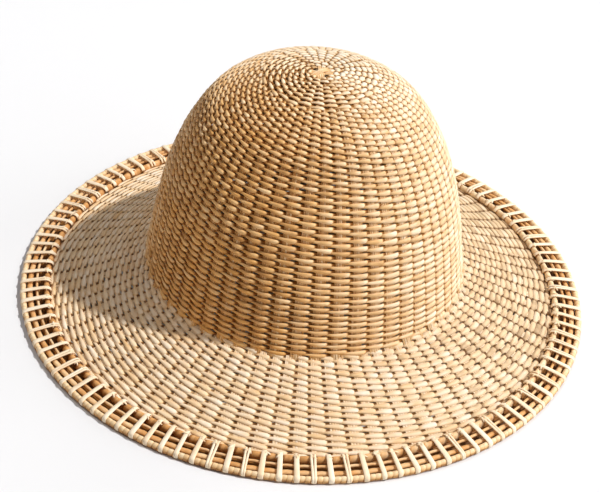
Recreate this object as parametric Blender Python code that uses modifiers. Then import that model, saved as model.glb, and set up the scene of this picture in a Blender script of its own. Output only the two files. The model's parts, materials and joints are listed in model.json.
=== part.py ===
# Wicker pith helmet: a deep round crown and a broad sloping brim, both woven
# from thin round cane, with an open ladder border round the rim.
#
# Frame: +Z up, metres. The origin is on the surface that the hat rests on,
# under the middle of the crown. The hat stands on the flat underside of its
# outer rim roll. The hat is round, so every way round it is alike.
#
# The solids are the walls and rods at their true size. The weave itself, the
# winding of the rim and the loose strand ends are surface work and are not
# modelled here.

import math

import bmesh
import bpy
from mathutils import Matrix

MM = 0.001

# ---------------------------------------------------------------- sizes (mm)
RIM_RADIUS = 170.0           # outside of the rim roll: a 34 cm brim
WALL = 2.6                   # woven wall: a stake with a weaver on each side
GAP = 0.3                    # clearance between neighbouring pieces

# crown: its outer surface, seen from the middle of the ring where it is
# folded out into the brim
FOLD_HEIGHT = 24.5           # height of that fold above the surface
CROWN_SECTIONS = [
    # angle up (deg),  distance to the outside
    (0.0,              96.0),   # the fold itself
    (12.0,             95.3),   # nearly upright wall
    (25.0,             98.6),
    (38.0,            105.8),
    (50.0,            114.9),   # shoulder
    (62.0,            124.4),
    (75.0,            128.6),
    (90.0,            128.6),   # top of the dome
]
CROWN_ROWS = 12              # rings of facets from fold to top
CROWN_BASE_RADIUS = CROWN_SECTIONS[0][1]

# brim, measured on its top surface
BRIM_EDGE_RADIUS = 152.2     # outer edge of the woven part
BRIM_EDGE_HEIGHT = 3.3
BRIM_SAG = 0.8               # the slope is a little hollow half-way out

# inner rim rod: an upright oval rod along the edge of the weave
INNER_ROD_RADIUS = 154.4
INNER_ROD_WIDTH = 3.8
INNER_ROD_BOTTOM = 0.4
INNER_ROD_TOP = 6.2

# outer rim roll: an upright oval with a flat foot
ROLL_WIDTH = 3.6
ROLL_HEIGHT = 4.6
ROLL_FOOT = 1.6              # width of the flat that the hat rests on

# two thin rods that run round inside the windows of the border
THIN_RODS = [
    # name,                radius of ring, thickness, height of its middle
    ("border_rod_outer",   163.4,          2.6,       2.7),
    ("border_rod_inner",   159.4,          1.6,       3.9),
]

# border strips: crossbars from the roll to the inner rod, and the strand
# along the top of the inner rod that their inner ends are tied to
CROSSBARS = 112
CROSSBAR_WIDTH = 3.0
STRIP_THICKNESS = 0.8
CROSSBAR_INNER_END = 153.0
CROSSBAR_OUTER_END = 169.2
STRAND_WIDTH = 1.8

STEPS = 56                   # facets round every turned piece
ROD_SIDES = 6

# ------------------------------------------------------- colours and finish
FINISH = {
    # node:              (base colour,         roughness)
    "crown":             ((0.62, 0.40, 0.19),  0.55),
    "brim":              ((0.70, 0.49, 0.26),  0.55),
    "inner_rim_rod":     ((0.52, 0.30, 0.13),  0.50),
    "outer_rim_roll":    ((0.60, 0.37, 0.16),  0.45),
    "border_rod_outer":  ((0.60, 0.37, 0.16),  0.50),
    "border_rod_inner":  ((0.74, 0.54, 0.30),  0.50),
    "border_strips":     ((0.78, 0.60, 0.36),  0.45),
}


def clear_scene():
    for obj in list(bpy.data.objects):
        bpy.data.objects.remove(obj, do_unlink=True)


def new_collection(name):
    coll = bpy.data.collections.new(name)
    bpy.context.scene.collection.children.link(coll)
    return coll


def material(name):
    colour, rough = FINISH[name]
    mat = bpy.data.materials.new(name + "_cane")
    mat.use_nodes = True
    bsdf = mat.node_tree.nodes["Principled BSDF"]
    bsdf.inputs["Base Color"].default_value = (*colour, 1.0)
    bsdf.inputs["Roughness"].default_value = rough
    bsdf.inputs["Metallic"].default_value = 0.0
    return mat


def add_object(name, mesh, coll):
    obj = bpy.data.objects.new(name, mesh)
    coll.objects.link(obj)
    if name in FINISH:
        mesh.materials.append(material(name))
    return obj


def profile_mesh(name, points, closed):
    """An edge chain in the XZ plane at +X from (radius, height) in mm."""
    verts = [(r * MM, 0.0, z * MM) for r, z in points]
    edges = [(i, i + 1) for i in range(len(points) - 1)]
    if closed:
        edges.append((len(points) - 1, 0))
    mesh = bpy.data.meshes.new(name)
    mesh.from_pydata(verts, edges, [])
    return mesh


def turn(obj, steps=STEPS):
    """Turn a profile once round Z."""
    screw = obj.modifiers.new("Turn", 'SCREW')
    screw.axis = 'Z'
    screw.angle = math.tau
    screw.screw_offset = 0.0
    screw.steps = steps
    screw.render_steps = steps
    screw.use_merge_vertices = True
    screw.merge_threshold = 0.00001
    screw.use_smooth_shade = True
    return screw


def woven_wall(name, points, coll):
    """A turned open surface given its wall, to the inside of the surface."""
    obj = add_object(name, profile_mesh(name, points, False), coll)
    turn(obj)
    solid = obj.modifiers.new("Wall", 'SOLIDIFY')
    solid.thickness = WALL * MM
    solid.offset = -1.0
    solid.use_even_offset = True
    solid.use_quality_normals = True
    return obj


def turned_ring(name, points, coll, steps=STEPS):
    """A ring turned from a closed section."""
    obj = add_object(name, profile_mesh(name, points, True), coll)
    turn(obj, steps)
    return obj


# ------------------------------------------------------------------ sections
def between(table, x):
    """A smooth curve through a table's rows (cubic, level at its last row)."""
    xs = [row[0] for row in table]
    ys = [row[1] for row in table]
    last = len(table) - 1
    slopes = []
    for i in range(len(table)):
        if i == last:
            slopes.append(0.0)
        elif i == 0:
            slopes.append((ys[1] - ys[0]) / (xs[1] - xs[0]))
        else:
            slopes.append((ys[i + 1] - ys[i - 1]) / (xs[i + 1] - xs[i - 1]))
    i = max(k for k in range(last) if xs[k] <= x or k == 0)
    step = xs[i + 1] - xs[i]
    t = (x - xs[i]) / step
    return ((2 * t**3 - 3 * t**2 + 1) * ys[i]
            + (t**3 - 2 * t**2 + t) * step * slopes[i]
            + (3 * t**2 - 2 * t**3) * ys[i + 1]
            + (t**3 - t**2) * step * slopes[i + 1])


def crown_section():
    """Outer surface of the dome, from its top down to the fold."""
    points = []
    for i in range(CROWN_ROWS + 1):
        angle = 90.0 * (1.0 - i / CROWN_ROWS)
        reach = between(CROWN_SECTIONS, angle)
        points.append((reach * math.cos(math.radians(angle)) if i else 0.0,
                       FOLD_HEIGHT + reach * math.sin(math.radians(angle))))
    # the wall runs on down past the fold, level with the brim's underside
    points.append((CROWN_BASE_RADIUS, FOLD_HEIGHT - WALL))
    return points


def brim_section(rows=4):
    """The brim's wall: along its top from the fold out to the edge of the
    weave, and back along its underside. Its two edges are upright, so the
    inner one follows the crown's wall."""
    inner = CROWN_BASE_RADIUS + GAP
    fall = math.atan2(FOLD_HEIGHT - BRIM_EDGE_HEIGHT, BRIM_EDGE_RADIUS - inner)
    top = []
    for i in range(rows + 1):
        t = i / rows
        radius = inner + (BRIM_EDGE_RADIUS - inner) * t
        height = (FOLD_HEIGHT + (BRIM_EDGE_HEIGHT - FOLD_HEIGHT) * t
                  - BRIM_SAG * math.sin(math.pi * t))
        top.append((radius, height))
    under = [(r, z - WALL / math.cos(fall)) for r, z in reversed(top)]
    return top + under


def oval_section(radius, width, bottom, top, flat):
    """An eight-sided upright oval with a flat top and a flat foot."""
    half, edge = width / 2.0, flat / 2.0
    shoulder = (top - bottom) * 0.27
    return [
        (radius + edge, top),
        (radius + half, top - shoulder),
        (radius + half, bottom + shoulder),
        (radius + edge, bottom),
        (radius - edge, bottom),
        (radius - half, bottom + shoulder),
        (radius - half, top - shoulder),
        (radius - edge, top),
    ]


# -------------------------------------------------------------------- pieces
def make_crown(coll):
    return woven_wall("crown", crown_section(), coll)


def make_brim(coll):
    return turned_ring("brim", brim_section(), coll)


def make_inner_rim_rod(coll):
    return turned_ring(
        "inner_rim_rod",
        oval_section(INNER_ROD_RADIUS, INNER_ROD_WIDTH, INNER_ROD_BOTTOM,
                     INNER_ROD_TOP, INNER_ROD_WIDTH * 0.45), coll)


def make_outer_rim_roll(coll):
    return turned_ring(
        "outer_rim_roll",
        oval_section(RIM_RADIUS - ROLL_WIDTH / 2.0, ROLL_WIDTH, 0.0,
                     ROLL_HEIGHT, ROLL_FOOT), coll)


def make_thin_rods(coll):
    made = []
    for name, ring, thick, height in THIN_RODS:
        bpy.ops.mesh.primitive_torus_add(
            major_segments=STEPS, minor_segments=ROD_SIDES,
            major_radius=ring * MM, minor_radius=thick / 2.0 * MM,
            location=(0.0, 0.0, height * MM))
        obj = bpy.context.active_object
        obj.name = name
        obj.data.name = name
        for old in list(obj.users_collection):
            old.objects.unlink(obj)
        coll.objects.link(obj)
        obj.data.materials.append(material(name))
        obj.data.shade_smooth()
        made.append(obj)
    return made


def make_border_strips(coll, helpers):
    """The crossbars, joined by the strand along the inner rod."""
    # underside of a bar clears the top of both the roll and the inner rod
    z_out = ROLL_HEIGHT + GAP
    z_in = INNER_ROD_TOP + GAP
    r_out = RIM_RADIUS - ROLL_WIDTH / 2.0
    r_in = INNER_ROD_RADIUS
    slope = math.atan2(z_in - z_out, r_out - r_in)
    middle_r = (CROSSBAR_INNER_END + CROSSBAR_OUTER_END) / 2.0
    middle_z = (z_in + (r_in - middle_r) * math.tan(slope)
                + STRIP_THICKNESS / 2.0 / math.cos(slope) + 0.10)
    length = (CROSSBAR_OUTER_END - CROSSBAR_INNER_END) / math.cos(slope)

    bm = bmesh.new()
    for i in range(CROSSBARS):
        place = (Matrix.Rotation(math.tau * (i + 0.5) / CROSSBARS, 4, 'Z')
                 @ Matrix.Translation((middle_r * MM, 0.0, middle_z * MM))
                 @ Matrix.Rotation(slope, 4, 'Y')
                 @ Matrix.Diagonal((length * MM, CROSSBAR_WIDTH * MM,
                                    STRIP_THICKNESS * MM, 1.0)))
        bmesh.ops.create_cube(bm, size=1.0, matrix=place)
    mesh = bpy.data.meshes.new("border_strips")
    bm.to_mesh(mesh)
    bm.free()
    strips = add_object("border_strips", mesh, coll)

    low = z_in + 0.02
    high = low + STRIP_THICKNESS * 0.8
    half = STRAND_WIDTH / 2.0
    strand = turned_ring("tie_strand", [
        (r_in + half, high), (r_in + half, low),
        (r_in - half, low), (r_in - half, high)], helpers)
    strand.hide_render = True
    strand.display_type = 'WIRE'

    join = strips.modifiers.new("Tie", 'BOOLEAN')
    join.operation = 'UNION'
    join.solver = 'EXACT'
    join.object = strand
    return strips


def main():
    clear_scene()
    hat = new_collection("wicker_pith_helmet")
    helpers = new_collection("helpers")
    make_crown(hat)
    make_brim(hat)
    make_inner_rim_rod(hat)
    make_outer_rim_roll(hat)
    make_thin_rods(hat)
    make_border_strips(hat, helpers)


main()
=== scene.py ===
import json
import math

import bpy
import numpy as np
from mathutils import Matrix, Vector

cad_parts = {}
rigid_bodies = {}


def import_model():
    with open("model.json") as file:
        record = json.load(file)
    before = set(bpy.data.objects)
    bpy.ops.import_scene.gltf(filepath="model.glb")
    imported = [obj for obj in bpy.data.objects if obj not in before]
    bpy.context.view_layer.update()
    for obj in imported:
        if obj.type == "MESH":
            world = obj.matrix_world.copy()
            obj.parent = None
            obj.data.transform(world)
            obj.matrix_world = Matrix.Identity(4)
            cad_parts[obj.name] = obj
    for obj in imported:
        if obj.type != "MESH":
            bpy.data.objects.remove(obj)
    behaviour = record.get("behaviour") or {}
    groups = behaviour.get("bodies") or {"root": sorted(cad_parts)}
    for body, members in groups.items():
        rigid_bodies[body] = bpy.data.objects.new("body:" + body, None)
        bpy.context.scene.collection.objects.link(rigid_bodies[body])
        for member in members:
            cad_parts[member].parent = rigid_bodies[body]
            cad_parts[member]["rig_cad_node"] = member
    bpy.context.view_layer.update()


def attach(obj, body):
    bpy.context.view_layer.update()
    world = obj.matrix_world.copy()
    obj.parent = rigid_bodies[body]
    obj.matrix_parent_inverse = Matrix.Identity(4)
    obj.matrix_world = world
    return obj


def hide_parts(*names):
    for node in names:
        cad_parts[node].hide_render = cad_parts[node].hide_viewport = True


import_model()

# Wicker sun hat of pith helmet form. Everything below is worked out in
# millimetres and turned into metres when a mesh is made. Angles run
# anticlockwise from +X, seen from above; the photo looks along +Y.

MM = 0.001
TAU = math.tau
RNG = np.random.default_rng(20)

# ------------------------------------------------------------ the CAD's sizes
FOLD_HEIGHT = 24.5
CROWN_SECTIONS = [
    (0.0, 96.0), (12.0, 95.3), (25.0, 98.6), (38.0, 105.8),
    (50.0, 114.9), (62.0, 124.4), (75.0, 128.6), (90.0, 128.6),
]
BRIM_INNER = 96.3
BRIM_EDGE_RADIUS, BRIM_EDGE_HEIGHT, BRIM_SAG = 152.2, 3.3, 0.8
CROSSBARS = 112
BAR_PITCH = TAU / CROSSBARS

# ------------------------------------------------------------------ the weave
CREST = 1.85            # depth of the woven sheet's middle under its outside
BRIM_CREST = 1.70
# row to row on the crown, by the distance from its top
ROW_PITCH = [(0.0, 1.90), (30.0, 1.82), (60.0, 1.74), (76.0, 1.74), (92.0, 1.94),
             (112.0, 2.10), (132.0, 1.92), (150.0, 1.87), (200.0, 1.87)]
BRIM_PITCH = 1.89
CROWN_COLUMNS = 56      # stake pairs round the crown
BRIM_COLUMNS = 84       # and round the brim
FIRST_ROW = 6.2         # radius of the first woven row round the top


def between(table, x):
    """Smooth curve through a table's rows, level at its last row."""
    xs = [row[0] for row in table]
    ys = [row[1] for row in table]
    last = len(table) - 1
    slopes = []
    for i in range(len(table)):
        if i == last:
            slopes.append(0.0)
        elif i == 0:
            slopes.append((ys[1] - ys[0]) / (xs[1] - xs[0]))
        else:
            slopes.append((ys[i + 1] - ys[i - 1]) / (xs[i + 1] - xs[i - 1]))
    i = max(k for k in range(last) if xs[k] <= x or k == 0)
    step = xs[i + 1] - xs[i]
    t = (x - xs[i]) / step
    return ((2 * t**3 - 3 * t**2 + 1) * ys[i] + (t**3 - 2 * t**2 + t) * step * slopes[i]
            + (3 * t**2 - 2 * t**3) * ys[i + 1] + (t**3 - t**2) * step * slopes[i + 1])


class Sheet:
    """The middle of the woven sheet: radius, height and normal by distance
    along it from the top of the crown."""

    def __init__(self, points):
        p = np.array(points, float)
        step = np.hypot(*np.diff(p, axis=0).T)
        keep = np.r_[True, step > 1e-6]
        p = p[keep]
        self.s = np.r_[0.0, np.cumsum(np.hypot(*np.diff(p, axis=0).T))]
        self.r, self.z = p[:, 0], p[:, 1]
        dr, dz = np.gradient(self.r, self.s), np.gradient(self.z, self.s)
        size = np.hypot(dr, dz)
        self.nr, self.nz = -dz / size, dr / size
        self.length = self.s[-1]

    def at(self, s):
        return (np.interp(s, self.s, self.r), np.interp(s, self.s, self.z),
                np.interp(s, self.s, self.nr), np.interp(s, self.s, self.nz))


def inset(points, depth):
    """A profile moved in by a depth, along its own normals."""
    p = np.array(points, float)
    d = np.gradient(p, axis=0)
    size = np.hypot(d[:, 0], d[:, 1])
    normal = np.c_[-d[:, 1] / size, d[:, 0] / size]
    q = p - normal * depth
    q[:, 0] = np.maximum(q[:, 0], 0.0)
    return q


def hat_sheet():
    """Crown, fold and brim as one line, and where the fold is along it."""
    angles = np.linspace(90.0, 0.0, 361)
    crown = [(between(CROWN_SECTIONS, a) * math.cos(math.radians(a)),
              FOLD_HEIGHT + between(CROWN_SECTIONS, a) * math.sin(math.radians(a)))
             for a in angles]
    crown = inset(crown, CREST)
    crown[0, 0] = 0.0
    radii = np.linspace(BRIM_INNER, BRIM_EDGE_RADIUS, 121)
    t = (radii - BRIM_INNER) / (BRIM_EDGE_RADIUS - BRIM_INNER)
    brim = np.c_[radii, FOLD_HEIGHT + (BRIM_EDGE_HEIGHT - FOLD_HEIGHT) * t
                 - BRIM_SAG * np.sin(np.pi * t)]
    rise = np.clip((radii - 138.0) / 14.0, 0, 1)
    brim[:, 1] += 0.8 * rise * rise * (3 - 2 * rise)
    brim = inset(brim, BRIM_CREST)
    # round the corner between the two with a small arc
    start = crown[crown[:, 1] > 27.6]
    out = brim[brim[:, 0] > 98.6]
    a, b = start[-1], out[0]
    ta = start[-1] - start[-2]
    tb = out[1] - out[0]
    ta, tb = ta / np.hypot(*ta), tb / np.hypot(*tb)
    span = np.hypot(*(b - a))
    u = np.linspace(0, 1, 24)[1:-1, None]
    arc = ((2 * u**3 - 3 * u**2 + 1) * a + (u**3 - 2 * u**2 + u) * ta * span
           + (3 * u**2 - 2 * u**3) * b + (u**3 - u**2) * tb * span)
    line = np.vstack([start, arc, out])
    sheet = Sheet(line)
    fold = float(np.interp(0.5, [0, 1], [
        np.hypot(*np.diff(start, axis=0).T).sum(),
        np.hypot(*np.diff(np.vstack([start, arc]), axis=0).T).sum()]))
    return sheet, fold


SHEET, FOLD_S = hat_sheet()


# ------------------------------------------------------------- mesh machinery
class Build:
    """Collects tubes and makes one mesh of them. Each tube has its own strip
    of the UV map, so the map never overlaps itself."""

    def __init__(self, name):
        self.name = name
        self.tubes = []

    def tube(self, points, side, up, wide, thick, tone=0.5, warm=0.5,
             sides=6, closed=False, square=1.0, start=0.0, level=None, shade=0.0,
             mark=None):
        """side x up = the way the tube runs. wide and thick are half sizes.
        level is each point's height over the middle of the sheet: what lies
        near that middle, deep in the weave, is darker by shade: painted shade in
        the weave's recesses. mark is added to the tone on the outer side; the
        weave and the stakes use it for painted light and shade."""
        points = np.asarray(points, float)
        m = len(points)
        full = lambda v: np.broadcast_to(np.asarray(v, float), (m,)).copy()
        vec = lambda v: np.broadcast_to(np.asarray(v, float), (m, 3))
        around = np.sin(TAU * np.arange(sides) / sides + start)
        tones = np.repeat(full(tone)[:, None], sides, axis=1)
        # painted shade: darker where the tube lies deep in the weave, near the sheet's middle
        if level is not None:
            out = np.abs(full(level)[:, None] + full(thick)[:, None] * around[None, :])
            fade = np.clip((out - 0.15) / 0.6, 0, 1)
            tones = tones - full(shade)[:, None] * (1 - fade * fade * (3 - 2 * fade))
        if mark is not None:
            tones = tones + full(mark)[:, None] * np.clip(0.6 + 0.7 * around, 0, 1)[None, :]
        self.tubes.append((points, vec(side), vec(up), full(wide), full(thick),
                           tones, full(warm), sides, closed, square, start))

    def make(self, material, slot, *nodes):
        co, tone, warm, uv, fibre, loops, starts = [], [], [], [], [], [], []
        base = first = 0
        rows = len(self.tubes)
        for row, (p, side, up, wide, thick, tn, wm, k, closed, square, start) in enumerate(self.tubes):
            m = len(p)
            phi = TAU * np.arange(k) / k + start
            c, s = np.cos(phi), np.sin(phi)
            c = np.sign(c) * np.abs(c) ** square
            s = np.sign(s) * np.abs(s) ** square
            v = (p[:, None, :] + (wide[:, None] * c)[..., None] * side[:, None, :]
                 + (thick[:, None] * s)[..., None] * up[:, None, :])
            co.append(v.reshape(-1, 3))
            tone.append(tn.reshape(-1))
            warm.append(np.repeat(wm, k))
            n = m if closed else m - 1
            i = np.arange(n)[:, None]
            j = np.arange(k)[None, :]
            i2, j2 = (i + 1) % m, (j + 1) % k
            quad = np.stack([i * k + j, i * k + j2, i2 * k + j2, i2 * k + j], -1) + base
            loops.append(quad.reshape(-1))
            starts.append(first + 4 * np.arange(n * k))
            first += 4 * n * k
            low = (row + 0.05) / rows
            high = (row + 0.95) / rows
            run = np.r_[0.0, np.cumsum(np.linalg.norm(np.diff(
                np.vstack([p, p[:1]]) if closed else p, axis=0), axis=1))]
            u0, u1 = (run[:-1], run[1:])
            total = run[-1]
            lo_u, hi_u = (0.0, 1.0) if closed else (0.02, 0.98)
            ua = (lo_u + (hi_u - lo_u) * u0 / total)[:, None] + 0 * j
            ub = (lo_u + (hi_u - lo_u) * u1 / total)[:, None] + 0 * j
            va = low + (high - low) * j / k + 0 * i
            vb = low + (high - low) * (j + 1) / k + 0 * i
            uv.append(np.stack([ua, va, ua, vb, ub, vb, ub, va], -1).reshape(-1, 2))
            turn = 4.0
            fa = np.broadcast_to(u0[:, None], ua.shape)
            fb = np.broadcast_to(u1[:, None], ua.shape)
            ga = row * 7.31 + turn * j / k + 0 * i
            gb = row * 7.31 + turn * (j + 1) / k + 0 * i
            fibre.append(np.stack([fa, ga, fa, gb, fb, gb, fb, ga], -1).reshape(-1, 2))
            if not closed:
                for end, ring in ((0, np.arange(k)[::-1]), (1, np.arange(k) + (m - 1) * k)):
                    loops.append(ring + base)
                    starts.append(np.array([first]))
                    first += k
                    around = TAU * np.arange(k) / k
                    mid_u = 0.01 if end == 0 else 0.99
                    patch = np.c_[mid_u + 0.007 * np.cos(around),
                                  (low + high) / 2 + (high - low) * 0.45 * np.sin(around)]
                    uv.append(patch)
                    fibre.append(patch * 3.0 + row)
            base += m * k
        co = np.concatenate(co) * MM
        loops = np.concatenate(loops).astype(np.int32)
        starts = np.concatenate(starts).astype(np.int32)
        me = bpy.data.meshes.new(self.name)
        me.vertices.add(len(co))
        me.vertices.foreach_set("co", co.astype(np.float32).ravel())
        me.loops.add(len(loops))
        me.loops.foreach_set("vertex_index", loops)
        me.polygons.add(len(starts))
        me.polygons.foreach_set("loop_start", starts)
        me.update(calc_edges=True)
        for title, data in (("OFBake", uv), ("fibre", fibre)):
            layer = me.uv_layers.new(name=title)
            layer.uv.foreach_set("vector", np.concatenate(data).astype(np.float32).ravel())
        for title, data in (("tone", tone), ("warm", warm)):
            a = me.attributes.new(title, "FLOAT", "POINT")
            a.data.foreach_set("value", np.concatenate(data).astype(np.float32))
        me.shade_smooth()
        me.materials.append(material)
        obj = bpy.data.objects.new(self.name, me)
        bpy.context.scene.collection.objects.link(obj)
        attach(obj, "root")
        if nodes:
            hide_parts(*nodes)
        return obj


def wander(count, knots, closed=True):
    """Smooth chance values from about -1 to 1, with so many knots."""
    values = RNG.uniform(-1, 1, knots)
    x = np.arange(count) * knots / count
    i = np.floor(x).astype(int)
    f = x - i
    f = f * f * (3 - 2 * f)
    a = values[i % knots]
    b = values[(i + 1) % knots] if closed else values[np.minimum(i + 1, knots - 1)]
    return a + (b - a) * f


def stretches(count, parts):
    """Values that stay the same along each of some stretches of a ring."""
    cuts = np.sort(RNG.integers(0, count, parts))
    values = RNG.uniform(-1, 1, parts + 1)
    values[-1] = values[0]
    return values[np.searchsorted(cuts, np.arange(count), side="right")]


def polar(r, angle, z):
    r, angle, z = np.broadcast_arrays(r, angle, z)
    return np.stack([r * np.cos(angle), r * np.sin(angle), z], -1)


# -------------------------------------------------------------------- weaving
def smooth(table, x):
    """Smooth curve through a table's rows, for numpy arrays."""
    return np.array([between(table, float(v)) for v in np.atleast_1d(x)])


CROWN_JITTER = RNG.uniform(-1, 1, CROWN_COLUMNS)
BRIM_JITTER = RNG.uniform(-1, 1, BRIM_COLUMNS)


def crown_angle(column):
    """Angle of a stake pair, counted round the crown. The pairs stand a little
    wider apart in front, and none quite where it should."""
    c = np.asarray(column, float)
    u = TAU * c / CROWN_COLUMNS
    i = np.floor(c).astype(int)
    f = c - i
    off = CROWN_JITTER[i % CROWN_COLUMNS] * (1 - f) + CROWN_JITTER[(i + 1) % CROWN_COLUMNS] * f
    return u + 0.025 * np.sin(3 * (u - math.radians(277))) + 0.035 * off * TAU / CROWN_COLUMNS


def brim_angle(column):
    c = np.asarray(column, float)
    i = np.floor(c).astype(int)
    f = c - i
    off = BRIM_JITTER[i % BRIM_COLUMNS] * (1 - f) + BRIM_JITTER[(i + 1) % BRIM_COLUMNS] * f
    return TAU * (c + 0.39) / BRIM_COLUMNS + 0.05 * off * TAU / BRIM_COLUMNS


# Points of a weaver along two columns, counted from the pair that it passes
# over: how much lighter or darker and how wide it is there, where the weave
# stands open (the left and the front) and where it lies flush (the right).
# The lighter and darker tones are painted light and shade: lighter along the
# raised run the key light falls on, darker where the pass dives into the gaps
# and where its tail rises in shade under the one before.
OVER_UNDER = np.array([
    # columns, open tone (painted light and shade), open width, flush tone (painted light and shade), flush width
    (-0.66, 0.02, 0.86, -0.40, 0.66), (-0.48, 0.03, 0.68, -0.12, 0.84),
    (-0.30, 0.02, 0.74, 0.00, 1.12), (-0.12, 0.02, 0.89, 0.02, 1.24),
    (0.06, 0.05, 1.05, 0.03, 1.27), (0.22, 0.08, 1.12, 0.04, 1.27),
    (0.34, 0.11, 1.09, 0.04, 1.25), (0.43, 0.11, 0.97, 0.04, 1.16),
    (0.50, 0.00, 0.80, -0.05, 1.04), (0.56, -0.42, 0.86, -1.25, 0.92),
    (0.68, -0.55, 1.06, -1.35, 0.90), (0.84, -0.04, 1.26, -0.20, 1.20),
    (1.02, 0.00, 1.25, 0.00, 1.30), (1.20, -0.04, 1.15, -0.04, 1.10),
])


def flush(angle):
    """0 to 1: how flush the weave lies at an angle round the hat."""
    return 1.0 - np.clip(0.5 + 0.75 * np.cos(angle - math.radians(205)), 0, 1)


def weaver(build, s, where, columns, skip, sign, height, thick, wide,
           tone=0.0, rough=1.0, shade=0.25, firm=1.5, gold=0.0, slant=0.28, lag=0.12,
           skew=0.45, deep=1.0, pale=0.0, snug=1.0, blush=0.0, later=0.0,
           sink=0.35, ends=0.0):
    """One ring of the weave, over one stake pair and under the next. where
    gives a column's angle; only every skip-th column has a pair here. Each
    pass over a pair runs down to the right by twice the slant, ends bluntly
    on top of its neighbour, and starts as a slow rise under the one before."""
    n = columns // skip
    x = (2.0 * np.arange(n // 2)[:, None] + OVER_UNDER[None, :, 0]).ravel()
    m = len(x)
    turn = math.pi * x
    if sign < 0:
        x = x + 1.0
    angle = where(x * skip)
    c = np.cos(turn - skew * np.cos(turn))
    lift = np.tanh(firm * c) / math.tanh(firm)
    flat = flush(angle - math.radians(later))
    # painted light and shade along each pass, from the table's tones; ends darkens the tails on the flush side
    # further: painted shade
    marks = np.tile(OVER_UNDER[:, 1], n // 2) * (1 - flat) + np.tile(OVER_UNDER[:, 3], n // 2) * flat
    marks = marks - ends * flat * np.tile(OVER_UNDER[:, 0] < -0.4, n // 2)
    widths = np.tile(OVER_UNDER[:, 2], n // 2) * (1 - flat) + snug * np.tile(OVER_UNDER[:, 4], n // 2) * flat
    height = height * (1 - sink * flat)
    h = height * lift * (1 + 0.12 * rough * wander(m, n)) + 0.08 * rough * wander(m, n)
    drift = (slant * np.sin(turn + math.pi * lag)
             + rough * (0.17 * wander(m, n) + 0.15 * wander(m, 9)))
    r, z, nr, nz = SHEET.at(s + drift)
    half = wide * widths * (1 + 0.10 * rough * wander(m, n) + 0.05 * stretches(m, 4))
    body = thick * (1 + 0.08 * wander(m, n)) * (1 - 0.2 * flat)
    cos, sin = np.cos(angle), np.sin(angle)
    up = np.stack([nr * cos, nr * sin, nz], -1)
    along = np.stack([-sin, cos, 0 * cos], -1)
    side = np.cross(up, along)
    p = polar(r + nr * h, angle, z + nz * h)
    colour = (0.55 + tone + (0.07 * stretches(m, 4) + 0.13 * wander(m, n)) * (1 - 0.5 * flat)
              + 0.05 * RNG.uniform(-1, 1))
    # gold darkens the tone towards the front-left: painted shade on the side turned from the key light. pale changes
    # the tone where the weave lies flush, set for the key light falling there: painted light.
    colour = colour - 0.11 * gold * gold_and_shade_side(angle) + pale * flat
    seam = np.exp(-((angle - math.radians(130)) * r / 1.3) ** 2) * np.clip((30 - r) / 8, 0, 1)
    colour = colour - 0.55 * seam
    # pale, where above zero, also makes the flush side less warm: painted light, the paler look of cane in full
    # light.
    hue = (0.30 - 0.4 * blush + 0.2 * stretches(m, 4) + 0.2 * wander(m, n) + gold * gold_and_shade_side(angle)
           - 2.0 * max(0.0, pale) * flat + blush * (1 - flat))
    build.tube(p, side, up, half, body, colour, hue, closed=True, start=math.pi / 6,
               level=h, shade=shade * deep * (1 - 0.8 * flat), mark=deep * marks)


def stakes(build, where, columns, s0, s1, reeds, share, half, flat, rise, bow, fade,
           keep=lambda j: True, step=6.0, gold=0.0, tone=0.74, top=0.0):
    """Bands of flat reeds side by side that run down the sheet from s0 to s1.
    share is how much of a column a band fills, half the most that a reed's
    half width may be. A band is bowed: its outer reeds lie lower by bow and
    are darker by fade: painted shade on the reeds that lie low. top is added
    to the tone of the reeds' outer side where the weave stands open: painted
    shade in the gaps."""
    s = np.linspace(s0, s1, max(4, int(round((s1 - s0) / step))))
    r, z, nr, nz = SHEET.at(s)
    column = np.maximum(r, 2.0) * TAU / columns
    fill = share(r) * column / reeds
    for j in range(columns):
        if not keep(j):
            continue
        middle = float(where(j))
        for k in range(reeds):
            gap = np.minimum(2 * half * 0.97, fill)
            off = (k - (reeds - 1) / 2) * gap + 0.10 * wander(len(s), 6, False)
            a = middle + off / np.maximum(r, 2.0)
            out = abs(2 * k / (reeds - 1) - 1)
            h = rise - bow * out + 0.07 * wander(len(s), 8, False) + 0.05 * RNG.uniform(-1, 1)
            cos, sin = np.cos(a), np.sin(a)
            up = np.stack([nr * cos, nr * sin, nz], -1)
            # the way it runs is down the sheet, so side and up make that
            p = polar(r + nr * h, a, z + nz * h)
            way = np.gradient(p, axis=0)
            way /= np.linalg.norm(way, axis=1)[:, None]
            side = np.cross(up, way)
            # fade, top and gold darken the reeds: painted shade on low reeds, in the open gaps and towards the
            # front-left
            build.tube(p, side, up, gap * 0.52, np.minimum(gap * 0.5, flat),
                       tone - fade * out + 0.10 * RNG.uniform(-1, 1) + 0.08 * wander(len(s), 8, False)
                       - 0.12 * gold * gold_and_shade_side(a),
                       0.30 + 0.2 * RNG.uniform(-1, 1) + gold * gold_and_shade_side(a), sides=6,
                       mark=top * (1 - flush(a)))


def gold_and_shade_side(angle):
    """0 to 1: how far an angle is toward the front-left, turned from the key light, where the cane is given a deeper
    golden hue and a darker tone; the darker tone is painted shade.
    """
    return np.maximum(0.0, np.cos(angle - math.radians(228))) ** 1.8


def column_skip(radius):
    """The stake pairs are fewer near the top: a half, then a quarter."""
    return 4 if radius < 12.5 else 2 if radius < 33.0 else 1


def radius_to_s(radius):
    return float(np.interp(radius, SHEET.r[:240], SHEET.s[:240]))


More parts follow.
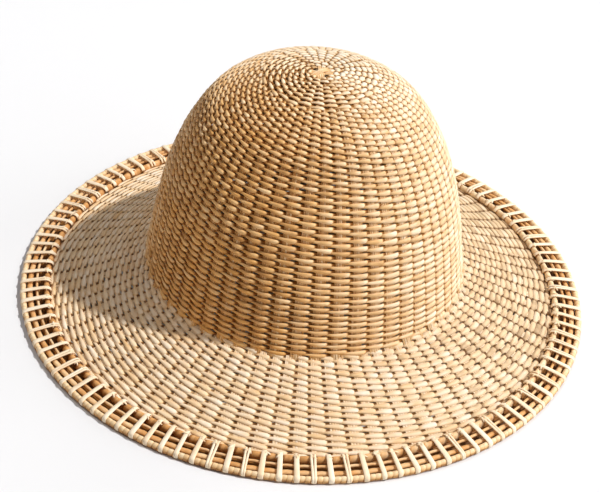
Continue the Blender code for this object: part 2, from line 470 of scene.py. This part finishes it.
first_s = radius_to_s(FIRST_ROW)
crown_s = [first_s]
while crown_s[-1] < FOLD_S:
    crown_s.append(crown_s[-1] + float(smooth(ROW_PITCH, crown_s[-1])[0]))
crown_s = first_s + (np.array(crown_s) - first_s) * (FOLD_S - first_s) / (crown_s[-1] - first_s)
crown_s = crown_s[:-1]
crown_rows = [Build("crown_weave_%s" % part) for part in ("top", "middle", "side")]
total = sum(CROWN_COLUMNS // column_skip(float(SHEET.at(s)[0])) for s in crown_s)
done = 0
for k, s in enumerate(crown_s):
    radius = float(SHEET.at(s)[0])
    skip = column_skip(radius)
    pitch = float(smooth(ROW_PITCH, s)[0])
    small = min(1.0, TAU * radius / (CROWN_COLUMNS / skip) / 6.5)
    # deep strengthens the painted light and shade of the weave towards the top
    weaver(crown_rows[min(2, 3 * done // total)], s, crown_angle, CROWN_COLUMNS, skip,
           1 if k % 2 else -1, 0.86 * (0.35 + 0.65 * small), 0.37 * pitch * (0.8 + 0.2 * small),
           (0.50 + 0.10 * min(1.0, radius / 50.0)) * pitch, gold=1.05 * min(1.0, radius / 85.0),
           tone=0.15 * max(0.0, 1.0 - radius / 60.0), pale=0.12, snug=1.30,
           slant=0.33, blush=0.30, later=20, sink=0.55, ends=0.28,
           deep=1.0 + 0.9 * max(0.0, 1.0 - radius / 60.0))
    done += CROWN_COLUMNS // skip

brim_rows = [Build("brim_weave_%s" % part) for part in ("inner", "outer")]
brim_end = float(np.interp(BRIM_EDGE_RADIUS - 0.2, SHEET.r[SHEET.s > FOLD_S],
                           SHEET.s[SHEET.s > FOLD_S]))
count = int(round((brim_end - FOLD_S) / BRIM_PITCH))
brim_s = FOLD_S + (brim_end - FOLD_S) * np.arange(count + 1) / count
for k, s in enumerate(brim_s):
    last = k == len(brim_s) - 1
    # pale gives the flush side of the brim a darker tone set for the key light falling there: painted light; the
    # last row's still darker tone is painted shadow of the kerb.
    weaver(brim_rows[2 * k // len(brim_s)], s, brim_angle, BRIM_COLUMNS, 1, 1 if k % 2 else -1,
           0.52, 0.56, 1.44, tone=0.19, slant=0.42, shade=0.14, deep=1.1, pale=-0.62 if last else -0.26,
           snug=1.0, blush=0.8, ends=0.13)

crown_stakes = Build("crown_stakes")
for keep, start in ((lambda j: j % 4 == 0, 3.0), (lambda j: j % 4 == 2, radius_to_s(12.5) - 1.5),
                    (lambda j: j % 2 == 1, radius_to_s(33.0) - 1.5)):
    stakes(crown_stakes, crown_angle, CROWN_COLUMNS, start, FOLD_S + 1.5, 5,
           lambda r: np.interp(r, [31.0, 37.0], [0.60, 0.62]), 0.68, 0.36, 0.14, 0.42, 0.26,
           keep=keep, gold=1.05)
brim_stakes = Build("brim_stakes")
stakes(brim_stakes, brim_angle, BRIM_COLUMNS, FOLD_S - 1.0, brim_end + 1.2, 4,
       lambda r: 0.56 + 0 * r, 1.30, 0.30, 0.0, 0.10, 0.10, tone=0.72, top=-0.12)


# ------------------------------------------------------------ top of the crown
knot = Build("crown_centre")
for i, turn in enumerate(np.radians([2, 91, 46])):
    for k in (-1.5, -0.5, 0.5, 1.5):
        x = np.linspace(-7.2, 7.2, 14)
        d = np.array([math.cos(turn), math.sin(turn), 0])
        e = np.array([-math.sin(turn), math.cos(turn), 0])
        r_here = np.abs(x)
        z = np.interp(r_here, SHEET.r[:200], SHEET.z[:200])
        lift = 0.9 * np.exp(-(x / 3.2) ** 2) * (i - 1) * 0.9 + 0.45
        fan = k * (0.80 + 0.045 * r_here)
        p = d * x[:, None] + e * fan[:, None] + np.array([0, 0, 1]) * (z + lift - 0.7 * (r_here / 9.5) ** 2)[:, None]
        knot.tube(p, -e, (0, 0, 1), 0.50, 0.40, 0.66 + 0.10 * RNG.uniform(-1, 1) - 0.3 * (r_here / 7.2) ** 3,
                  0.6 + 0.2 * RNG.uniform(-1, 1), sides=6)


# --------------------------------------------------------------------- border
def ring_points(r, z, m, turn=0.0):
    angle = TAU * np.arange(m) / m + turn
    cos, sin = np.cos(angle), np.sin(angle)
    out = np.stack([cos, sin, 0 * cos], -1)
    return angle, polar(r, angle, z), out


def wound_rod(build, r, z, half_w, half_h, marks, slant, tone, warm, sides=12, floor=None,
              low=0.0, pale=0.0):
    """A rod wound with flat strip. marks gives, along one crossbar's pitch in
    mm from the bar's middle, how far the winding stands out and how much
    darker it is: painted shade in the grooves beside and under the bars.
    low is how much darker and warmer it is below: painted shade on the lower
    outer side. pale makes it lighter and less warm where the weave lies flush:
    painted light where the key light falls."""
    pitch = r * BAR_PITCH
    phi = TAU * np.arange(sides) / sides
    co, tn, wm = [], [], []
    at = np.array([m[0] for m in marks])
    proud = np.array([m[1] for m in marks])
    shade = np.array([m[2] for m in marks])
    n = len(marks)
    sway = RNG.uniform(-1, 1, (CROSSBARS, 3))
    rings = []
    for i in range(CROSSBARS):
        bar = (i + 0.5) * BAR_PITCH
        x = at + 0.22 * sway[i, 0]
        x = x * pitch / 9.44
        flat = float(flush(bar))
        # the darker tone from marks is painted shade in the grooves; pale is painted light on the flush side
        rings.append((bar + x / r, proud * (1 + 0.25 * sway[i, 1]),
                      tone + pale * flat + shade + 0.10 * sway[i, 2],
                      warm - 1.2 * pale * flat + 0.15 * sway[i, 1] + 0 * shade))
    angle = np.concatenate([g[0] for g in rings])
    proud = np.concatenate([g[1] for g in rings])
    tn = np.concatenate([g[2] for g in rings])
    wm = np.concatenate([g[3] for g in rings])
    m = len(angle)
    # the rings lean with the winding, so each point has an angle of its own
    lean = slant / r * np.sin(phi)[None, :]
    a = angle[:, None] + lean
    rr = r + (half_w + proud)[:, None] * np.cos(phi)[None, :]
    zz = z + (half_h + proud)[:, None] * np.sin(phi)[None, :]
    if floor is not None:
        zz = np.maximum(zz, floor)
    grid = np.stack([rr * np.cos(a), rr * np.sin(a), zz], -1)
    # painted shade: darker and warmer on the lower outer side
    below = np.clip(0.55 - 1.3 * np.sin(phi - 0.25), 0, 1)[None, :]
    build.grids.append((grid, tn[:, None] - low * below, wm[:, None] + 1.4 * low * below))


class GridBuild(Build):
    """Closed grids (ring by section) with points of their own."""

    def __init__(self, name):
        super().__init__(name)
        self.grids = []

    def make(self, material, slot, *nodes):
        co, tone, warm, uv, fibre, quads = [], [], [], [], [], []
        base = 0
        rows = len(self.grids)
        for row, (g, tn, wm) in enumerate(self.grids):
            m, k = g.shape[:2]
            co.append(g.reshape(-1, 3))
            tone.append(tn.reshape(-1))
            warm.append(wm.reshape(-1))
            i = np.arange(m)[:, None]
            j = np.arange(k)[None, :]
            i2, j2 = (i + 1) % m, (j + 1) % k
            # rings run anticlockwise and the section turns from outward to up
            quads.append((np.stack([i * k + j, i2 * k + j, i2 * k + j2, i * k + j2], -1) + base).reshape(-1))
            low, high = (row + 0.02) / rows, (row + 0.98) / rows
            ua, ub = i / m + 0 * j, (i + 1) / m + 0 * j
            va, vb = low + (high - low) * j / k + 0 * i, low + (high - low) * (j + 1) / k + 0 * i
            uv.append(np.stack([ua, va, ub, va, ub, vb, ua, vb], -1).reshape(-1, 2))
            length = TAU * np.hypot(g[0, 0, 0], g[0, 0, 1])
            fa, fb = va * 12.0 + 0 * i, vb * 12.0 + 0 * i
            fibre.append(np.stack([fa, ua * length, fa, ub * length, fb, ub * length, fb, ua * length], -1).reshape(-1, 2))
            base += m * k
        co = np.concatenate(co) * MM
        loops = np.concatenate(quads).astype(np.int32)
        me = bpy.data.meshes.new(self.name)
        me.vertices.add(len(co))
        me.vertices.foreach_set("co", co.astype(np.float32).ravel())
        me.loops.add(len(loops))
        me.loops.foreach_set("vertex_index", loops)
        me.polygons.add(len(loops) // 4)
        me.polygons.foreach_set("loop_start", np.arange(0, len(loops), 4, dtype=np.int32))
        me.update(calc_edges=True)
        for title, data in (("OFBake", uv), ("fibre", fibre)):
            layer = me.uv_layers.new(name=title)
            layer.uv.foreach_set("vector", np.concatenate(data).astype(np.float32).ravel())
        for title, data in (("tone", tone), ("warm", warm)):
            a = me.attributes.new(title, "FLOAT", "POINT")
            a.data.foreach_set("value", np.concatenate(data).astype(np.float32))
        me.shade_smooth()
        me.materials.append(material)
        obj = bpy.data.objects.new(self.name, me)
        bpy.context.scene.collection.objects.link(obj)
        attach(obj, "root")
        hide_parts(*nodes)
        return obj


roll = GridBuild("rim_roll_winding")
wound_rod(roll, 168.2, 2.30, 1.50, 2.05, [
    # from the bar's middle, stands out, tone; the darker tone in the grooves beside each bar is painted shade
    (-4.55, 0.02, -0.22), (-4.35, 0.14, 0.0), (-3.2, 0.19, 0.0), (-2.05, 0.15, 0.0),
    (-1.80, 0.00, -0.45), (-1.62, 0.00, -0.45), (-1.42, 0.22, 0.05), (-0.7, 0.25, 0.06),
    (0.7, 0.25, 0.06), (1.42, 0.22, 0.05), (1.62, 0.00, -0.45), (1.80, 0.00, -0.45),
    (2.05, 0.15, 0.0), (3.2, 0.19, 0.0), (4.35, 0.14, 0.0), (4.55, 0.02, -0.22),
], 0.35, 0.86, 0.30, floor=0.0, low=0.66)

rod = GridBuild("inner_rod_winding")
wound_rod(rod, 154.4, 3.15, 1.70, 2.45, [
    # from the bar's middle, stands out, tone; the darker tone under the bar is painted shade
    (-4.60, 0.10, 0.0), (-3.4, 0.16, 0.03), (-2.2, 0.06, 0.0), (-1.55, -0.10, -0.25),
    (-0.7, -0.22, -0.3), (0.7, -0.22, -0.3), (1.55, -0.10, -0.25),
    (2.2, 0.06, 0.0), (3.4, 0.16, 0.03),
], 0.9, 0.42, 0.85, floor=0.2, pale=0.36)

thin = Build("border_rods")
for r, half, tall, z, tone, warm, dip in ((164.0, 1.50, 1.25, 2.75, 0.60, 0.75, 0.30),
                                          (160.0, 0.80, 0.78, 4.00, 0.62, 0.60, 0.25)):
    m = CROSSBARS * 4
    angle = TAU * np.arange(m) / m
    near = np.cos(TAU * (np.arange(m) / 4.0 - 0.5))
    zz = z - dip * near + 0.12 * wander(m, 60)
    rr = r + 0.25 * wander(m, 70)
    p = polar(rr, angle, zz)
    out = np.stack([np.cos(angle), np.sin(angle), 0 * angle], -1)
    # side x up is the way it runs: outward x up runs clockwise, so side is inward
    thin.tube(p, -out, (0, 0, 1), half * (1 + 0.08 * wander(m, 50)), tall * (1 + 0.06 * wander(m, 50)),
              tone + 0.10 * stretches(m, 9) + 0.08 * wander(m, 112), warm + 0.15 * wander(m, 30),
              sides=8, closed=True)

# dark canes that lie close together under the windows; their dark colour is painted shade for the shadow under the
# border
under = Build("border_shade_underlay")
for r in (155.5, 157.1, 158.8, 160.5, 162.2, 163.9, 165.6):
    m = CROSSBARS * 2
    angle = TAU * np.arange(m) / m
    out = np.stack([np.cos(angle), np.sin(angle), 0 * angle], -1)
    p = polar(r + 0.1 * wander(m, 40), angle, 0.95 + 0.08 * wander(m, 60))
    under.tube(p, -out, (0, 0, 1), 0.93, 0.62, 0.30 + 0.2 * stretches(m, 7) + 0.1 * wander(m, 60),
               0.5 + 0.2 * wander(m, 30), sides=6, closed=True)

bars = Build("border_crossbars")
BAR_PATH = np.array([
    (169.50, 1.3), (169.78, 2.4), (169.62, 3.55), (169.05, 4.30), (168.0, 4.66), (166.3, 4.95),
    (162.5, 5.50), (158.6, 6.05), (156.1, 6.30), (154.4, 6.30), (152.9, 5.95), (152.1, 5.2), (151.8, 4.3),
])


def bar_strip(bar, wide, shift, twist, rise, tone, warm):
    r, z = BAR_PATH[:, 0].copy(), BAR_PATH[:, 1].copy()
    inward = (170.0 - r) / 18.0
    z[5:10] += rise
    a = bar + (shift + twist * (0.5 - inward)) / r
    w = wide * (1 - 0.16 * inward ** 2) * (1 + 0.04 * wander(len(r), 5, False))
    p = polar(r, a, z)
    way = np.gradient(p, axis=0)
    way /= np.linalg.norm(way, axis=1)[:, None]
    tangent = np.stack([-np.sin(a), np.cos(a), 0 * a], -1)
    up = np.cross(way, tangent)
    if up[6, 2] < 0:
        up = -up
    side = np.cross(up, way)
    bars.tube(p, side, up, w, 0.42, tone - 0.08 * inward, warm, sides=8, square=0.6)


for i in range(CROSSBARS):
    bar = (i + 0.5) * BAR_PITCH
    wide = RNG.uniform(1.35, 1.65)
    lean = 1.0 * math.cos(1.5 * (bar - math.radians(255))) if 2.2 < bar < 6.2 else 0.0
    twist = lean + RNG.uniform(-0.6, 0.6)
    rise = RNG.uniform(-0.10, 0.22)
    tone, warm = 0.88 + 0.10 * RNG.uniform(-1, 1), 0.1 + 0.2 * RNG.uniform(0, 1)
    shift = RNG.uniform(-0.2, 0.2)
    if RNG.uniform() < 0.22:
        bar_strip(bar, wide * 0.5, shift - wide * 0.52, twist + 0.3, rise, tone, warm)
        bar_strip(bar, wide * 0.5, shift + wide * 0.56, twist - 0.5, rise + 0.08, tone - 0.06, warm + 0.1)
    else:
        bar_strip(bar, wide, shift, twist, rise, tone, warm)

tufts = Build("border_ties")
for i in range(CROSSBARS):
    bar = (i + 0.5) * BAR_PITCH
    for k in range(3):
        a0 = bar + RNG.uniform(-1.5, 1.5) / 154
        length = RNG.uniform(2.6, 4.6)
        heading = RNG.uniform(-1.0, 1.0) if k else RNG.choice([-1.35, 1.35])
        u = np.linspace(-0.5, 0.5, 5)
        r = 154.6 + u * length * math.cos(heading) + RNG.uniform(-0.5, 1.2)
        a = a0 + u * length * math.sin(heading) / 154
        z = 6.75 - 1.2 * np.abs(2 * u) ** 1.5 + RNG.uniform(-0.1, 0.2)
        p = polar(r, a, z)
        way = np.gradient(p, axis=0)
        way /= np.linalg.norm(way, axis=1)[:, None]
        up = np.tile((0.0, 0.0, 1.0), (5, 1))
        side = np.cross(up, way)
        side /= np.linalg.norm(side, axis=1)[:, None]
        up = np.cross(way, side)
        tufts.tube(p, side, up, RNG.uniform(0.45, 0.75) * np.array([0.6, 1, 1, 1, 0.6]), 0.26,
                   0.72 + 0.15 * RNG.uniform(-1, 1), 0.35 + 0.25 * RNG.uniform(-1, 1), sides=5)


# ------------------------------------------------------------------ materials
def cane(name, dark, mid, light, rough=0.5, fibre=0.5, gloss=0.2):
    mat = bpy.data.materials.new(name)
    mat.use_nodes = True
    t = mat.node_tree
    n, link = t.nodes, t.links
    bsdf = n["Principled BSDF"]
    bsdf.inputs["Specular IOR Level"].default_value = gloss
    tone = n.new("ShaderNodeAttribute"); tone.attribute_name = "tone"
    warm = n.new("ShaderNodeAttribute"); warm.attribute_name = "warm"
    uv = n.new("ShaderNodeUVMap"); uv.uv_map = "fibre"
    stretch = n.new("ShaderNodeMapping")
    stretch.inputs["Scale"].default_value = (0.22, 3.2, 1.0)
    link.new(uv.outputs["UV"], stretch.inputs["Vector"])
    streak = n.new("ShaderNodeTexNoise")
    streak.inputs["Scale"].default_value = 1.0
    streak.inputs["Detail"].default_value = 4.0
    streak.inputs["Roughness"].default_value = 0.65
    link.new(stretch.outputs["Vector"], streak.inputs["Vector"])
    patch_map = n.new("ShaderNodeMapping")
    patch_map.inputs["Scale"].default_value = (0.09, 0.35, 1.0)
    link.new(uv.outputs["UV"], patch_map.inputs["Vector"])
    patch = n.new("ShaderNodeTexNoise")
    patch.inputs["Scale"].default_value = 1.0
    patch.inputs["Detail"].default_value = 2.0
    link.new(patch_map.outputs["Vector"], patch.inputs["Vector"])

    def maths(op, a, b):
        node = n.new("ShaderNodeMath"); node.operation = op
        for i, v in enumerate((a, b)):
            if isinstance(v, (int, float)):
                node.inputs[i].default_value = v
            else:
                link.new(v, node.inputs[i])
        return node.outputs[0]

    shift = maths("ADD", maths("MULTIPLY", maths("SUBTRACT", streak.outputs["Fac"], 0.5), 0.55 * fibre),
                  maths("MULTIPLY", maths("SUBTRACT", patch.outputs["Fac"], 0.5), 0.8))
    value = maths("ADD", tone.outputs["Fac"], shift)
    ramp = n.new("ShaderNodeValToRGB")
    e = ramp.color_ramp.elements
    e[0].position, e[0].color = 0.05, (*dark, 1)
    e[1].position, e[1].color = 0.95, (*light, 1)
    m = ramp.color_ramp.elements.new(0.5); m.color = (*mid, 1)
    link.new(value, ramp.inputs["Fac"])
    tint = n.new("ShaderNodeMix"); tint.data_type = "RGBA"; tint.blend_type = "MULTIPLY"
    tint.inputs[7].default_value = (1.0, 0.775, 0.40, 1)
    link.new(ramp.outputs["Color"], tint.inputs[6])
    link.new(maths("MULTIPLY", warm.outputs["Fac"], 0.55), tint.inputs[0])
    link.new(tint.outputs[2], bsdf.inputs["Base Color"])
    link.new(maths("ADD", maths("MULTIPLY", streak.outputs["Fac"], 0.22), rough - 0.11), bsdf.inputs["Roughness"])
    bump = n.new("ShaderNodeBump")
    bump.inputs["Strength"].default_value = 0.35
    bump.inputs["Distance"].default_value = 0.00012
    link.new(streak.outputs["Fac"], bump.inputs["Height"])
    link.new(bump.outputs["Normal"], bsdf.inputs["Normal"])
    return mat


CROWN_CANE = cane("crown_cane", (0.25, 0.095, 0.012), (0.76, 0.50, 0.25), (0.97, 0.85, 0.67))
BRIM_CANE = cane("brim_cane", (0.15, 0.062, 0.014), (0.77, 0.56, 0.335), (0.92, 0.83, 0.715))
ROD_CANE = cane("rod_cane", (0.24, 0.095, 0.025), (0.72, 0.41, 0.175), (0.92, 0.76, 0.53))
# painted shade: a very dark cane for the canes under the windows
SHADE_UNDER_CANE = cane("shade_under_cane", (0.07, 0.028, 0.008), (0.25, 0.108, 0.026), (0.42, 0.21, 0.07))
ROLL_CANE = cane("roll_cane", (0.27, 0.12, 0.04), (0.76, 0.49, 0.24), (0.90, 0.71, 0.46), rough=0.42)
STRIP_CANE = cane("strip_cane", (0.42, 0.23, 0.09), (0.84, 0.63, 0.40), (0.95, 0.82, 0.63), rough=0.45)

for rows in crown_rows:
    rows.make(CROWN_CANE, "crown_weave", "crown")
crown_stakes.make(CROWN_CANE, "crown_weave", "crown")
knot.make(CROWN_CANE, "crown_weave", "crown")
for rows in brim_rows:
    rows.make(BRIM_CANE, "brim_weave", "brim")
brim_stakes.make(BRIM_CANE, "brim_weave", "brim")
roll.make(ROLL_CANE, "rim_cane", "outer_rim_roll")
rod.make(ROD_CANE, "border_cane", "inner_rim_rod")
thin.make(ROD_CANE, "border_cane", "border_rod_outer", "border_rod_inner")
under.make(SHADE_UNDER_CANE, "border_cane", "border_rod_outer", "border_rod_inner")
bars.make(STRIP_CANE, "strip_cane", "border_strips")
tufts.make(STRIP_CANE, "strip_cane", "border_strips")


# ---------------------------------------------------------------- camera, set
ELEVATION, ROLL = math.radians(36.57), math.radians(4.87)
CAMERA_AT = (-0.0035, -0.7885, 0.6155)
right = Vector((1, 0, 0))
up = Vector((0, math.sin(ELEVATION), math.cos(ELEVATION)))
look = Vector((0, math.cos(ELEVATION), -math.sin(ELEVATION)))
across = math.cos(ROLL) * right + math.sin(ROLL) * up
above = -math.sin(ROLL) * right + math.cos(ROLL) * up
cam = bpy.data.cameras.new("camera")
cam.sensor_width = 36.0
cam.lens = 98.17
cam.clip_start, cam.clip_end = 0.01, 50.0
cam_obj = bpy.data.objects.new("camera", cam)
m = Matrix((across, above, -look)).transposed().to_4x4()
m.translation = Vector(CAMERA_AT)
cam_obj.matrix_world = m
bpy.context.scene.collection.objects.link(cam_obj)
bpy.context.scene.camera = cam_obj

floor_mesh = bpy.data.meshes.new("floor")
floor_mesh.from_pydata([(-6, -6, 0), (6, -6, 0), (6, 6, 0), (-6, 6, 0)], [], [(0, 1, 2, 3)])
floor = bpy.data.objects.new("floor", floor_mesh)
bpy.context.scene.collection.objects.link(floor)
floor_mat = bpy.data.materials.new("floor")
floor_mat.use_nodes = True
fb = floor_mat.node_tree.nodes["Principled BSDF"]
fb.inputs["Base Color"].default_value = (0.785, 0.782, 0.775, 1)
fb.inputs["Roughness"].default_value = 0.9
fb.inputs["Specular IOR Level"].default_value = 0.1
floor_mesh.materials.append(floor_mat)


def light(name, kind, direction, distance, power, size=None, angle=None, colour=(1, 1, 1)):
    data = bpy.data.lights.new(name, kind)
    data.energy = power
    data.color = colour
    if size:
        data.shape = "DISK"
        data.size = size
    if angle:
        data.angle = math.radians(angle)
    obj = bpy.data.objects.new(name, data)
    d = Vector(direction).normalized()
    obj.location = d * distance
    obj.rotation_mode = "QUATERNION"
    obj.rotation_quaternion = d.to_track_quat("Z", "Y")
    bpy.context.scene.collection.objects.link(obj)


def heading(azimuth, elevation):
    a, e = math.radians(azimuth), math.radians(elevation)
    return (math.cos(e) * math.cos(a), math.cos(e) * math.sin(a), math.sin(e))


light("key", "SUN", heading(-4, 54), 3, 3.1, angle=2.5, colour=(0.985, 0.985, 1.0))
light("soft_right", "AREA", heading(4, 20), 3.2, 32.0, size=1.8)
light("soft_front", "AREA", heading(-40, 34), 2.6, 8.0, size=1.4, colour=(0.97, 0.98, 1.02))
light("overhead", "AREA", heading(170, 74), 3.0, 20.0, size=1.6, colour=(0.95, 0.97, 1.03))
light("soft_back", "AREA", heading(62, 34), 3.2, 18.0, size=2.0)
light("warm_fill", "AREA", heading(222, 12), 2.4, 4.0, size=1.4, colour=(1.0, 0.58, 0.28))
world = bpy.data.worlds.new("studio")
world.use_nodes = True
world.node_tree.nodes["Background"].inputs["Color"].default_value = (0.95, 0.97, 1.0, 1)
world.node_tree.nodes["Background"].inputs["Strength"].default_value = 0.05
bpy.context.scene.world = world
bpy.context.scene.view_settings.view_transform = "Standard"

faces = {o.name: sum(len(p.vertices) - 2 for p in o.data.polygons)
         for o in bpy.context.scene.objects if o.type == "MESH" and "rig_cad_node" not in o}
print("triangles", faces, "sum", sum(faces.values()))
